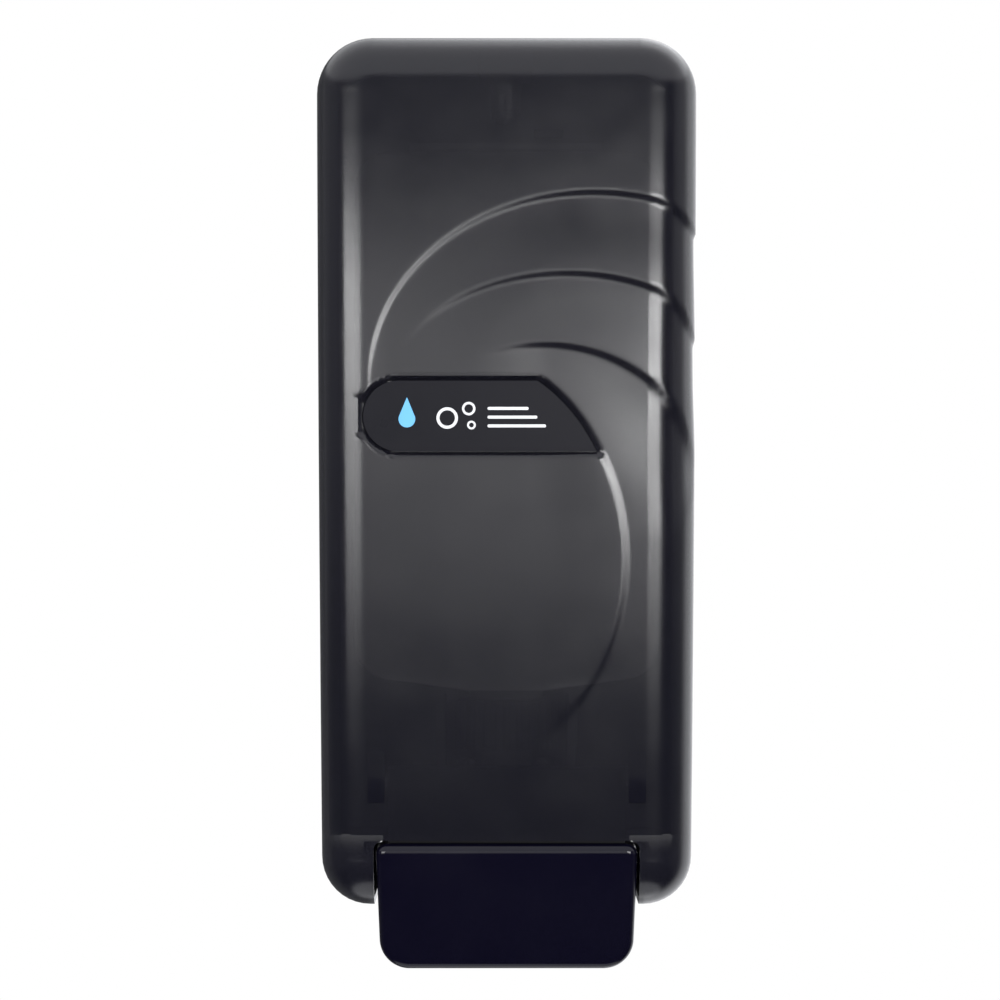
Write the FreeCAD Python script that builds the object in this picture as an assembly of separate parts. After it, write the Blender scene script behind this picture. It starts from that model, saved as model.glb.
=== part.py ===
import FreeCAD, Part
import math
import os

# Wall mounted soap dispenser, millimetres.
# The wall is the plane y = 0 and the dispenser stands on its -Y side.
# X runs left to right, Z runs up, and the origin is the centre of the four wall screws.

V = FreeCAD.Vector

# ---- overall sizes ----
cover_width_top = 115.0
cover_width_bottom = 111.5
cover_height = 261.3
cover_depth = 104.0            # wall to the crown of the front
cover_bottom_z = -130.0        # bottom edge of the cover below the screw centre
cover_rear_gap = 9.0           # wall to the open edge of the cover
cover_wall = 2.4
cover_corner_top = 17.0
cover_corner_bottom = 12.5
cover_edge_round = 11.5
front_bow_radius = 1400.0      # the front bows gently from top to bottom

# ---- notch and push bar ----
notch_half_width = 39.8
notch_height = 20.2
notch_corner = 3.0
bar_gap = 0.9                  # between the bar's top edge and the notch
bar_half_top = 39.2
bar_half_bottom = 37.7
bar_drop = 18.4                # how far the bar hangs below the cover
bar_corner = 9.0
bar_wall = 2.6
bar_depth = 15.0
bar_proud = 1.0
bar_rim_round = 2.8
bar_pocket_round = 1.9
bar_top_round = 3.2
bar_pivot_y = -90.0
bar_pivot_up = 38.0            # pivot height above the cover's bottom edge
bar_barrel_radius = 4.2
bar_barrel_half = 35.5
bar_press_angle = 16.0
bar_pin_radius = 2.0
bar_pin_length = 12.0
boss_radius = 8.0
boss_half_width = 7.0

# ---- wave steps on the front: centre x, centre height, half width, half height, left end, low end ----
wave_depth = 0.7
wave_band = 1.7
waves = [
    (26.0, 157.0, 68.0, 57.5, -41.5, 158.0),
    (18.0, 150.3, 56.0, 40.0, -33.0, 151.3),
    (11.0, 130.0, 46.0, 39.0, -4.0, 131.0),
    (-10.6, 104.0, 47.0, 60.0, 8.0, 62.0),
]

# ---- badge in the front ----
badge_left = -42.7
badge_low = 136.4
badge_high = 157.4
badge_inset = 0.35
badge_thick = 0.85
badge_fit = 0.1
mark_thick = 0.25
mark_height = 5.6

# ---- wall plate ----
plate_sheet = 3.0
plate_rim = 8.6
plate_rim_wall = 2.4
plate_inset = 0.6
plate_bottom_up = 14.5         # the plate stops above the cover's hinge
screw_spacing_x = 64.0
screw_spacing_z = 110.0
screw_hole_radius = 2.6
screw_boss_radius = 7.5
screw_boss_height = 2.5
lug_low = 54.0
lug_high = 78.0
lug_half_width = 57.4
rail_low = 182.0
rail_high = 244.0
rail_half_width = 58.3
bracket_x = 20.6
bracket_wall = 3.0
bracket_reach = 66.0
clip_x = 30.0
clip_width = 6.0

# ---- cover hinge ----
hinge_y = -7.5
hinge_up = 7.0
hinge_ear_radius = 5.5
plate_ear_inner = 34.0
plate_ear_outer = 39.3
cover_ear_inner = 40.1
cover_ear_outer = 45.6
hinge_pin_radius = 2.0
pin_clearance = 0.06

# ---- reservoir ----
tank_width = 92.0
tank_depth = 76.0
tank_rear_gap = 14.0
tank_top_up = 227.0
tank_bottom_up = 64.2
tank_side_up = 69.0
tank_wall = 1.8
tank_round = 11.0
mouth_width = 56.0
mouth_depth = 18.0
mouth_y = -53.5
mouth_rim = 2.0
neck_radius = 11.0
neck_bore = 8.2
neck_length = 12.0
strainer_height = 24.0
pump_y = -44.5                 # line of the outlet neck and the spout

# ---- filler flap ----
flap_y = -40.0
flap_pin_radius = 1.25
flap_knuckle_radius = 2.6
flap_thick = 2.0
flap_lift = 2.95

# ---- pump ----
pump_up = 12.0                 # height of the pump barrel's axis above the cover's bottom edge
barrel_radius = 10.0
bore_radius = 7.0
barrel_front_y = -67.5
barrel_rear_y = -34.0
bore_rear_y = -38.0
piston_clearance = 0.05
head_length = 8.0
head_front_y = -66.0
rod_radius = 3.2
button_radius = 7.0
button_front_y = -81.5
button_thick = 3.0
seal_groove_depth = 1.2
seal_width = 2.0
spring_radius = 5.2
spring_wire = 0.9
spring_turns = 4
spring_runs = 18
inlet_radius = 8.0
inlet_bore = 4.6
ball_radius = 3.2
ball_lift = 1.2
seat_height = 4.0
flange_radius = 12.6
flange_thick = 2.5
gasket_thick = 2.0
collar_radius = 16.0
collar_grips = 24
spout_radius = 7.0
spout_bore = 4.4
spout_drop = 18.5              # pump axis down to the nozzle's tip
spout_low = pump_up - spout_drop
nozzle_height = 8.2
lug_thick = 5.0
pump_lug_half_width = 18.0
lug_screw_up = 11.0
foot_screw_up = 24.5
screw_x = 11.5
screw_radius = 1.3

# ---- lock ----
lock_y = -24.0
lock_barrel_radius = 5.5
lock_barrel_drop = 17.0
lock_plate_half_x = 13.2
lock_plate_half_y = 7.0
lock_plate_proud = 0.8
cam_reach = 16.0
cam_half_width = 3.8
cam_thick = 2.0
fit_gap = 0.15                 # parts that are clamped or clipped together


def up(height):
    """Height above the cover's bottom edge, as a z of the frame."""
    return cover_bottom_z + height


def box(x0, x1, y0, y1, z0, z1):
    return Part.makeBox(x1 - x0, y1 - y0, z1 - z0, V(x0, y0, z0))


def rod_x(radius, x0, x1, y, z):
    return Part.makeCylinder(radius, x1 - x0, V(x0, y, z), V(1, 0, 0))


def rod_y(radius, y0, y1, x, z):
    return Part.makeCylinder(radius, y1 - y0, V(x, y0, z), V(0, 1, 0))


def rod_z(radius, z0, z1, x, y):
    return Part.makeCylinder(radius, z1 - z0, V(x, y, z0), V(0, 0, 1))


def prism_y(points, y0, y1):
    """Extrude a closed outline of (x, z) points from y0 to y1."""
    wire = Part.makePolygon([V(x, y0, z) for x, z in points + points[:1]])
    return Part.Face(wire).extrude(V(0, y1 - y0, 0))


def prism_x(points, x0, x1):
    """Extrude a closed outline of (y, z) points from x0 to x1."""
    wire = Part.makePolygon([V(x0, y, z) for y, z in points + points[:1]])
    return Part.Face(wire).extrude(V(x1 - x0, 0, 0))


def ellipse_prism(cx, cz, half_width, half_height, y0, y1):
    """Upright elliptical prism; the taller axis decides which way the ellipse is built."""
    if half_width >= half_height:
        curve = Part.Ellipse(V(cx + half_width, y0, cz), V(cx, y0, cz + half_height), V(cx, y0, cz))
    else:
        curve = Part.Ellipse(V(cx, y0, cz + half_height), V(cx + half_width, y0, cz), V(cx, y0, cz))
    return Part.Face(Part.Wire(curve.toShape())).extrude(V(0, y1 - y0, 0))


def tidy(shape):
    """Merge the faces a union splits."""
    return shape.removeSplitter()


def edges_along(shape, direction, pick):
    """Straight edges parallel to a direction whose middle passes the test."""
    found = []
    for edge in shape.Edges:
        ends = edge.Vertexes
        if len(ends) != 2:
            continue
        run = ends[1].Point.sub(ends[0].Point)
        if run.Length < 0.01 or abs(abs(run.normalize().dot(direction)) - 1) > 0.02:
            continue
        if pick(edge.BoundBox.Center):
            found.append(edge)
    return found


def bowed_block(inset, front, rear_y):
    """The cover's outline, drawn in by inset, run forward to the bowed front."""
    low = up(inset)
    high = up(cover_height - inset)
    half_low = cover_width_bottom / 2 - inset
    half_high = cover_width_top / 2 - inset
    outline = [(-half_low, low), (half_low, low), (half_high, high), (-half_high, high)]
    block = prism_y(outline, -cover_depth - 8, rear_y)
    along = V(0, 1, 0)
    middle = up(cover_height / 2)
    top = edges_along(block, along, lambda c: c.z > middle)
    block = block.makeFillet(cover_corner_top - inset, top)
    bottom = edges_along(block, along, lambda c: c.z < middle)
    block = block.makeFillet(cover_corner_bottom - inset, bottom)
    bow = rod_x(front_bow_radius, -100, 100, front + front_bow_radius, middle)
    return block.common(bow)


def pillow(inset, rear_y):
    """The cover's rounded body, drawn in by inset on every side."""
    block = bowed_block(inset, -cover_depth + inset, rear_y)
    rim = []
    for edge in block.Edges:
        if edge.BoundBox.YMax < rear_y - 30:
            rim.append(edge)
    return block.makeFillet(cover_edge_round - inset, rim)


def wave_bands(outer):
    """Crescent bands that follow the front's wave lines and wrap round its right side."""
    skin = outer.cut(pillow(wave_depth, 0.0))
    bands = None
    for cx, cz, half_width, half_height, left_end, low_end in waves:
        big = ellipse_prism(cx, up(cz), half_width, half_height, -cover_depth - 4, -30)
        small = ellipse_prism(cx + 0.3, up(cz) - 0.5, half_width - wave_band, half_height - wave_band,
                              -cover_depth - 5, -29)
        band = big.cut(small)
        keep = box(left_end, 70.0, -cover_depth - 6, -28, up(low_end), up(cz + half_height + 2))
        band = band.common(keep).common(skin)
        bands = band if bands is None else bands.fuse(band)
    return bands


def badge_prism(grow, y0, y1):
    """Badge outline: round left end, right end cut by the lowest wave line."""
    low = up(badge_low) - grow
    high = up(badge_high) + grow
    radius = (high - low) / 2
    left = badge_left - grow + radius
    bar = box(left, 40.0, y0, y1, low, high)
    bar = bar.fuse(rod_y(radius, y0, y1, left, (low + high) / 2))
    cx, cz, half_width, half_height = waves[-1][:4]
    end = ellipse_prism(cx, up(cz), half_width - 2.6 + grow, half_height - 0.4 + grow, y0 - 1, y1 + 1)
    end = end.fuse(box(-60.0, cx, y0 - 1, y1 + 1, low - 5, high + 5))
    return tidy(bar.common(end))


def skin_between(shallow, deep):
    """The layer of the cover between two depths below its outer surface."""
    return pillow(shallow, 0.0).cut(pillow(deep, 1.0))


def hinge_ear(x0, x1):
    """Cover ear: a round eye joined to the bottom wall by a web."""
    eye = rod_x(hinge_ear_radius, x0, x1, hinge_y, up(hinge_up))
    top = up(hinge_up + hinge_ear_radius - 0.6)
    web = prism_x([(hinge_y, up(hinge_up - 4.6)), (hinge_y, top), (-16.0, top), (-30.0, up(1.0)),
                   (-cover_rear_gap - 1, up(1.0))], x0, x1)
    return eye.fuse(web)


def front_cover():
    outer = pillow(0.0, -cover_rear_gap)
    inner = pillow(cover_wall, 0.0)
    shell = outer.cut(inner)
    notch = box(-notch_half_width, notch_half_width, -cover_depth - 5, 0, up(-5), up(notch_height))
    notch = notch.makeFillet(notch_corner, edges_along(notch, V(0, 1, 0), lambda c: c.z > up(10)))
    shell = shell.cut(notch)
    shell = shell.cut(wave_bands(outer))
    pocket = badge_prism(badge_fit, -cover_depth - 3, -90.0)
    pocket = pocket.common(pillow(-1.0, 0.0).cut(pillow(badge_inset + badge_thick, 1.0)))
    shell = shell.cut(pocket)
    for side in (-1, 1):
        x0, x1 = sorted((side * cover_ear_inner, side * cover_ear_outer))
        shell = shell.fuse(hinge_ear(x0, x1))
    shell = shell.fuse(bar_ears())
    shell = shell.fuse(rod_z(lock_barrel_radius + 3.0, up(cover_height - 8.0), up(cover_height - 1.5),
                             0, lock_y))
    ears_bore = rod_x(hinge_pin_radius + pin_clearance, -60, 60, hinge_y, up(hinge_up))
    bar_bore = rod_x(bar_pin_radius, -42.4, 42.4, bar_pivot_y, up(bar_pivot_up))
    lock_bore = rod_z(lock_barrel_radius + pin_clearance, up(cover_height - 30), up(cover_height + 5), 0, lock_y)
    return tidy(shell.cut(ears_bore).cut(bar_bore).cut(lock_bore))


def bar_ears():
    """Two ears inside the cover's front that carry the push bar's pins."""
    ears = None
    inside = pillow(cover_wall / 2, 0.0)
    for side in (-1, 1):
        x0, x1 = sorted((side * (bar_barrel_half + 1.0), side * (bar_barrel_half + 6.0)))
        eye = rod_x(5.2, x0, x1, bar_pivot_y, up(bar_pivot_up))
        web = box(x0, x1, -cover_depth, bar_pivot_y, up(bar_pivot_up - 6.5), up(bar_pivot_up + 9.0))
        ear = eye.fuse(web).common(inside)
        ears = ear if ears is None else ears.fuse(ear)
    return ears


def bar_outline(inset):
    """Bar outline in (x, z): slightly narrower and rounded at the bottom."""
    top = up(notch_height - bar_gap) - inset
    low = up(-bar_drop) + inset
    return [(-bar_half_bottom + inset, low), (bar_half_bottom - inset, low),
            (bar_half_top - inset, top), (-bar_half_top + inset, top)]


def bar_block(inset, rear_y, rim_round):
    """The bar's rounded body, drawn in by inset, with its front rim rounded."""
    block = prism_y(bar_outline(inset), -cover_depth - 8, rear_y)
    low = edges_along(block, V(0, 1, 0), lambda c: c.z < up(0))
    block = block.makeFillet(bar_corner - inset, low)
    high = edges_along(block, V(0, 1, 0), lambda c: c.z > up(0))
    block = block.makeFillet(bar_top_round - inset, high)
    radius = front_bow_radius
    bow = rod_x(radius, -80, 80, -cover_depth - bar_proud + inset + radius, up(cover_height / 2))
    block = block.common(bow)
    rim = [edge for edge in block.Edges if edge.BoundBox.YMax < rear_y - 2]
    return block.makeFillet(rim_round, rim)


def push_bar():
    """Curved finger bar with a hinged arm above it and a round boss that works the pump."""
    rear = -cover_depth + cover_front_drop(0.0) - bar_proud + bar_depth
    bar = bar_block(0.0, rear, bar_rim_round).cut(bar_block(bar_wall, rear + 1, bar_pocket_round))
    arm = box(-bar_barrel_half, bar_barrel_half, bar_pivot_y - 3.6, bar_pivot_y - 0.8,
              up(9.0), up(bar_pivot_up))
    shelf = box(-bar_barrel_half, bar_barrel_half, bar_pivot_y - 8.5, bar_pivot_y - 0.8, up(14.6), up(17.4))
    bar = bar.fuse(arm).fuse(shelf)
    for x in (-31.0, -12.0, 12.0, 31.0):
        rib = prism_x([(bar_pivot_y - 7.5, up(-6)), (bar_pivot_y - 2.0, up(-6)), (bar_pivot_y + 2.0, up(6)),
                       (bar_pivot_y + 2.0, up(bar_pivot_up - 3)), (bar_pivot_y - 3.0, up(bar_pivot_up)),
                       (bar_pivot_y - 3.0, up(16)), (bar_pivot_y - 7.5, up(15))], x - 1.2, x + 1.2)
        bar = bar.fuse(rib)
    barrel = rod_x(bar_barrel_radius, -bar_barrel_half, bar_barrel_half, bar_pivot_y, up(bar_pivot_up))
    boss = rod_x(boss_radius, -boss_half_width, boss_half_width, bar_pivot_y, up(pump_up))
    bar = bar.fuse(barrel).fuse(boss)
    for side in (-1, 1):
        x0, x1 = sorted((side * (bar_barrel_half - 8.0), side * 40.0))
        bar = bar.cut(rod_x(bar_pin_radius + pin_clearance, x0, x1, bar_pivot_y, up(bar_pivot_up)))
    return tidy(bar)


def cover_front_drop(height):
    """How far the bowed front falls back from its crown at a height above the bottom edge."""
    off = cover_height / 2 - height
    return front_bow_radius - math.sqrt(front_bow_radius ** 2 - off ** 2)


def push_bar_pins():
    """Two steel pins pressed into the cover's ears."""
    pins = []
    for side in (-1, 1):
        x0, x1 = sorted((side * (bar_barrel_half + 6.8 - bar_pin_length), side * (bar_barrel_half + 6.8)))
        pins.append(rod_x(bar_pin_radius, x0, x1, bar_pivot_y, up(bar_pivot_up)))
    return Part.makeCompound(pins)


def cover_hinge_pins():
    """Two steel pins held by the plate's ears; the cover's ears turn on them."""
    pins = []
    for side in (-1, 1):
        x0, x1 = sorted((side * (plate_ear_inner - 0.5), side * (cover_ear_outer + 0.5)))
        pins.append(rod_x(hinge_pin_radius, x0, x1, hinge_y, up(hinge_up)))
    return Part.makeCompound(pins)


def name_badge():
    layer = skin_between(badge_inset, badge_inset + badge_thick)
    badge = badge_prism(0.0, -cover_depth - 3, -90.0).common(layer)
    return tidy(badge.cut(badge_marks()))


def ring(cx, cz, outer, inner):
    return rod_y(outer, -cover_depth - 3, -90.0, cx, cz).cut(rod_y(inner, -cover_depth - 4, -89.0, cx, cz))


def badge_marks():
    """A drop, three bubbles and three bars, as plain pictograms."""
    middle = up((badge_low + badge_high) / 2)
    y0 = -cover_depth - 3
    y1 = -90.0
    drop_x = badge_left + 13.0
    drop = rod_y(2.5, y0, y1, drop_x, middle - 0.9)
    tip = prism_y([(drop_x - 2.3, middle + 0.05), (drop_x + 2.3, middle + 0.05), (drop_x, middle + mark_height)],
                  y0, y1)
    marks = [drop.fuse(tip)]
    marks.append(ring(drop_x + 12.0, middle - 0.6, 3.2, 2.3))
    marks.append(ring(drop_x + 18.4, middle + 2.2, 2.0, 1.3))
    marks.append(ring(drop_x + 19.2, middle - 2.7, 1.3, 0.7))
    for low in (-3.4, -0.8, 1.8):
        line = box(drop_x + 24.0, drop_x + 38.0 - low, y0, y1, middle + low, middle + low + 0.9)
        marks.append(line.makeFillet(0.4, edges_along(line, V(0, 1, 0), lambda c: True)))
    layer = skin_between(badge_inset, badge_inset + mark_thick)
    return Part.makeCompound([mark.common(layer) for mark in marks])


def wall_plate():
    rim_y = -plate_rim
    outer = bowed_block(plate_inset, -cover_depth, 0.0).common(box(-80, 80, rim_y, 0, up(-10), up(300)))
    inner = bowed_block(plate_inset + plate_rim_wall, -cover_depth, 0.0)
    inner = inner.common(box(-80, 80, rim_y - 2, -plate_sheet, up(-10), up(300)))
    above = box(-80, 80, -20, 1, up(plate_bottom_up), up(300))
    tray = outer.cut(inner).common(above)
    sill = box(-50, 50, rim_y, -1, up(plate_bottom_up), up(plate_bottom_up + plate_rim_wall))
    tray = tray.fuse(sill)
    for side in (-1, 1):
        tray = tray.fuse(side_box(side, 54.0, lug_half_width, rim_y, -0.8, up(lug_low), up(lug_high), 0.9))
        tray = tray.fuse(side_box(side, 54.0, rail_half_width, rim_y, -0.8, up(rail_low), up(rail_high), 0.9))
        tray = tray.fuse(plate_ear(side))
        tray = tray.fuse(tank_bracket(side))
        tray = tray.fuse(tank_clip(side))
    tray = tray.fuse(lock_keeper())
    for x in (-screw_spacing_x / 2, screw_spacing_x / 2):
        for z in (-screw_spacing_z / 2, screw_spacing_z / 2):
            boss = rod_y(screw_boss_radius, -plate_sheet - screw_boss_height, -1, x, z)
            tray = tray.fuse(boss)
            tray = tray.cut(rod_y(screw_hole_radius, -30, 1, x, z))
    for x in (-screw_x, screw_x):
        tray = tray.cut(rod_y(screw_radius, -30, -plate_sheet + 2.0, x, up(pump_up + foot_screw_up)))
    for z in (0.0, -26.0, 26.0):
        for side in (-1, 1):
            tray = tray.fuse(box(side * 46.0 - 1.0, side * 46.0 + 1.0, rim_y + 1.5, -1, z - 12, z + 12))
    tray = tray.cut(rod_x(hinge_pin_radius, -60, 60, hinge_y, up(hinge_up)))
    return tidy(tray)


def side_box(side, inner, outer, y0, y1, z0, z1, soft):
    """A lug on one side of the plate with softened ends."""
    x0, x1 = sorted((side * inner, side * outer))
    lug = box(x0, x1, y0, y1, z0, z1)
    return lug.makeFillet(soft, edges_along(lug, V(0, 1, 0), lambda c: abs(c.x) > inner + 0.5))


def plate_ear(side):
    """Ear below the plate that holds a cover hinge pin."""
    x0, x1 = sorted((side * plate_ear_inner, side * plate_ear_outer))
    eye = rod_x(hinge_ear_radius, x0, x1, hinge_y, up(hinge_up))
    web = box(x0, x1, hinge_y - hinge_ear_radius + 0.7, -1.0, up(hinge_up), up(plate_bottom_up + 1.5))
    return eye.fuse(web)


def tank_bracket(side):
    """Gusset that carries the reservoir, and the rib behind it."""
    x0 = side * bracket_x - bracket_wall / 2
    x1 = side * bracket_x + bracket_wall / 2
    shelf_top = up(tank_bottom_up + 0.5)
    gusset = prism_x([(-1.0, up(30)), (-1.0, shelf_top), (-bracket_reach, shelf_top),
                      (-bracket_reach, shelf_top - 5.0)], x0, x1)
    rib = box(x0, x1, -tank_rear_gap + 0.2, -1.0, up(tank_bottom_up - 2), up(tank_top_up - 20))
    foot = box(x0 - 3.5, x1 + 3.5, -bracket_reach, -24, shelf_top - 2.2, shelf_top)
    return gusset.fuse(rib).fuse(foot)


def tank_clip(side):
    """Springy hook over the rib on the reservoir's top."""
    x0 = side * clip_x - clip_width / 2
    x1 = side * clip_x + clip_width / 2
    arm = box(x0, x1, -35.6, -1.0, up(tank_top_up + 2.7), up(tank_top_up + 4.9))
    hook = box(x0, x1, -35.6, -33.4, up(tank_top_up + 0.5), up(tank_top_up + 4.9))
    root = prism_x([(-1.0, up(tank_top_up - 8)), (-1.0, up(tank_top_up + 4.9)),
                    (-12.0, up(tank_top_up + 4.9)), (-12.0, up(tank_top_up + 2.7))], x0, x1)
    return arm.fuse(hook).fuse(root)


def lock_keeper():
    """Arm on the plate with an upright tab that the turned cam catches behind."""
    top = up(cover_height - lock_barrel_drop - cam_thick)
    arm = box(9.0, 18.0, lock_y - 9.0, -1.0, top - 4.0, top - 1.0)
    tab = box(9.0, 18.0, lock_y - 9.0, lock_y - cam_half_width - 1.2, top - 4.0, top + 4.5)
    return arm.fuse(tab)


def tank_outline(inset):
    """Reservoir outline in (x, z) with a floor that falls to the outlet."""
    half = tank_width / 2 - inset
    return [(-neck_radius, up(tank_bottom_up) + inset), (neck_radius, up(tank_bottom_up) + inset),
            (half, up(tank_side_up) + inset), (half, up(tank_top_up) - inset),
            (-half, up(tank_top_up) - inset), (-half, up(tank_side_up) + inset)]


def tank_block(inset):
    rear = -tank_rear_gap - inset
    front = -tank_rear_gap - tank_depth + inset
    block = prism_y(tank_outline(inset), front, rear)
    corners = edges_along(block, V(0, 1, 0), lambda c: abs(c.x) > 30)
    block = block.makeFillet(tank_round - inset, corners)
    rims = [edge for edge in block.Edges if edge.BoundBox.YLength < 0.01]
    return block.makeFillet(tank_round - 3.0 - inset, rims)


def reservoir():
    """Hollow moulded tank with a filling mouth, a threaded outlet neck and two hinge knuckles."""
    tank = tank_block(0.0)
    top = up(tank_top_up)
    lip = box(-mouth_width / 2 - mouth_rim, mouth_width / 2 + mouth_rim,
              mouth_y - mouth_depth / 2 - mouth_rim, mouth_y + mouth_depth / 2 + mouth_rim, top - 1, top + 2.0)
    tank = tank.fuse(lip)
    tank = tank.fuse(rod_z(neck_radius, up(tank_bottom_up - neck_length), up(tank_bottom_up + 1), 0, pump_y))
    for side in (-1, 1):
        x0 = side * clip_x - clip_width / 2 - 1
        x1 = side * clip_x + clip_width / 2 + 1
        tank = tank.fuse(box(x0, x1, -32.9, -30.4, top - 1, top + 2.2))
        k0, k1 = sorted((side * 20.2, side * 25.0))
        knuckle = rod_x(flap_knuckle_radius, k0, k1, flap_y, top + flap_lift)
        foot = box(k0, k1, flap_y - 2.0, flap_y + 2.0, top - 1, top + flap_lift)
        tank = tank.fuse(knuckle).fuse(foot)
    tank = tank.cut(tank_block(tank_wall))
    mouth = box(-mouth_width / 2, mouth_width / 2, mouth_y - mouth_depth / 2, mouth_y + mouth_depth / 2,
                top - 5, top + 5)
    mouth = mouth.makeFillet(4.0, edges_along(mouth, V(0, 0, 1), lambda c: True))
    tank = tank.cut(mouth)
    tank = tank.cut(rod_z(neck_bore, up(tank_bottom_up - neck_length - 2), up(tank_bottom_up + 6), 0, pump_y))
    tank = tank.cut(rod_x(flap_pin_radius, -30, 30, flap_y, top + flap_lift))
    return tidy(tank)


def tank_strainer():
    """Slotted cap that stands in the outlet and keeps lumps out of the pump."""
    low = up(tank_bottom_up - 4.0)
    high = low + strainer_height
    cap = rod_z(neck_bore - 0.2, low, high, 0, pump_y)
    cap = cap.cut(rod_z(neck_bore - 1.4, low - 1, high - 1.4, 0, pump_y))
    for k in range(4):
        slot = box(-12.0, 12.0, pump_y - 0.9, pump_y + 0.9, low + 6.0, high - 2.6)
        slot.rotate(V(0, pump_y, 0), V(0, 0, 1), 45.0 * k)
        cap = cap.cut(slot)
    return tidy(cap)


def filler_flap():
    """Flat lid over the mouth with a finger lip and two knuckles behind."""
    base = up(tank_top_up) + 2.0 + 0.35
    rear = flap_y - 3.0
    front = mouth_y - mouth_depth / 2 - mouth_rim - 1.0
    half = mouth_width / 2 + mouth_rim
    lid = box(-half, half, front, rear, base, base + flap_thick)
    lid = lid.makeFillet(3.0, edges_along(lid, V(0, 0, 1), lambda c: c.y < rear - 5))
    lip = box(-9.0, 9.0, front - 1.4, front + 1.0, base, base + flap_thick)
    lid = lid.fuse(lip)
    axis_z = up(tank_top_up) + flap_lift
    for side in (-1, 1):
        k0, k1 = sorted((side * 14.0, side * 19.7))
        lid = lid.fuse(rod_x(flap_knuckle_radius, k0, k1, flap_y, axis_z))
        lid = lid.fuse(box(k0, k1, rear - 1.0, flap_y, base + 0.2, base + flap_thick))
    return tidy(lid.cut(rod_x(flap_pin_radius + pin_clearance, -30, 30, flap_y, axis_z)))


def flap_hinge_pin():
    return rod_x(flap_pin_radius, -25.4, 25.4, flap_y, up(tank_top_up) + flap_lift)


def neck_end():
    """z of the outlet neck's lower end."""
    return up(tank_bottom_up - neck_length)


def outlet_gasket():
    low = neck_end() - gasket_thick
    return rod_z(neck_radius, low, neck_end(), 0, pump_y).cut(rod_z(neck_bore, low, neck_end(), 0, pump_y))


def flange_top():
    return neck_end() - gasket_thick


def collar_nut():
    """Ribbed nut that pulls the pump's flange up against the neck."""
    low = flange_top() - flange_thick - 3.0
    high = neck_end() + 8.0
    nut = rod_z(collar_radius - 1.0, low, high, 0, pump_y)
    for k in range(collar_grips):
        turn = 2 * math.pi * k / collar_grips
        nut = nut.fuse(rod_z(1.1, low, high - 0.8, (collar_radius - 1.1) * math.cos(turn),
                             pump_y + (collar_radius - 1.1) * math.sin(turn)))
    nut = nut.cut(rod_z(flange_radius + fit_gap, flange_top() - flange_thick, flange_top() + 0.4, 0, pump_y))
    nut = nut.cut(rod_z(neck_radius + fit_gap, flange_top(), high + 1, 0, pump_y))
    nut = nut.cut(rod_z(inlet_radius + fit_gap, low - 1, high, 0, pump_y))
    return tidy(nut)


def pump_body():
    """Horizontal barrel with the inlet pipe above and the outlet socket below."""
    axis_z = up(pump_up)
    body = rod_y(barrel_radius, barrel_front_y, barrel_rear_y, 0, axis_z)
    body = body.fuse(rod_z(inlet_radius, axis_z, flange_top(), 0, pump_y))
    body = body.fuse(rod_z(flange_radius, flange_top() - flange_thick, flange_top(), 0, pump_y))
    body = body.fuse(rod_z(spout_radius, up(spout_low + 7.0), axis_z, 0, pump_y))
    body = body.fuse(box(-pump_lug_half_width, pump_lug_half_width, barrel_rear_y - lug_thick, barrel_rear_y,
                         axis_z - 3.0, axis_z + 15.0))
    body = body.cut(rod_y(bore_radius, barrel_front_y - 1, bore_rear_y, 0, axis_z))
    seat_low = up(pump_up + bore_radius + 5.0)
    body = body.cut(rod_z(inlet_bore, seat_low, flange_top() + 1, 0, pump_y))
    body = body.cut(rod_z(2.2, axis_z, seat_low + 1, 0, pump_y))
    body = body.cut(rod_z(spout_bore, up(spout_low), axis_z - bore_radius + 0.5, 0, pump_y))
    for x in (-screw_x, screw_x):
        body = body.cut(rod_y(screw_radius, -60, 0, x, axis_z + lug_screw_up))
    return tidy(body)


def pump_bracket():
    """Angle that ties the pump's lug to the wall plate."""
    axis_z = up(pump_up)
    half = pump_lug_half_width
    back = box(-half, half, barrel_rear_y, barrel_rear_y + 3.0, axis_z + 3.0, axis_z + 19.0)
    arm = box(-half, half, barrel_rear_y + 1.0, -plate_sheet, axis_z + 16.0, axis_z + 19.0)
    foot = box(-half, half, -plate_sheet - 3.0, -plate_sheet, axis_z + 16.0, axis_z + 30.0)
    bracket = back.fuse(arm).fuse(foot)
    for x in (-16.5, 16.5):
        rib = prism_x([(barrel_rear_y + 2, axis_z + 17), (-plate_sheet - 2, axis_z + 17),
                       (-plate_sheet - 2, axis_z + 27)], x - 1.2, x + 1.2)
        bracket = bracket.fuse(rib)
    for x in (-screw_x, screw_x):
        bracket = bracket.cut(rod_y(screw_radius, -60, -10, x, axis_z + lug_screw_up))
        bracket = bracket.cut(rod_y(screw_radius, -10, 0, x, axis_z + foot_screw_up))
    return tidy(bracket)


def slotted_screw(x, seat_y, z, length):
    """Round head screw driven along +Y; its head sits in front of seat_y."""
    shank = rod_y(screw_radius, seat_y, seat_y + length, x, z)
    head = rod_y(2.8, seat_y - 2.0, seat_y, x, z)
    head = head.makeFillet(0.9, [e for e in head.Edges if e.BoundBox.YMax < seat_y - 1.5])
    slot = box(x - 0.4, x + 0.4, seat_y - 2.5, seat_y - 1.2, z - 2.9, z + 2.9)
    return shank.fuse(head).cut(slot)


def bracket_screws():
    """Two screws through the pump's lug and two through the bracket's foot."""
    screws = []
    for x in (-screw_x, screw_x):
        screws.append(slotted_screw(x, barrel_rear_y - lug_thick, up(pump_up + lug_screw_up), 8.0))
        screws.append(slotted_screw(x, -plate_sheet - 3.0, up(pump_up + foot_screw_up), 5.0))
    return Part.makeCompound(screws)


def seat_base():
    return up(pump_up + bore_radius + 5.0)


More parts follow.
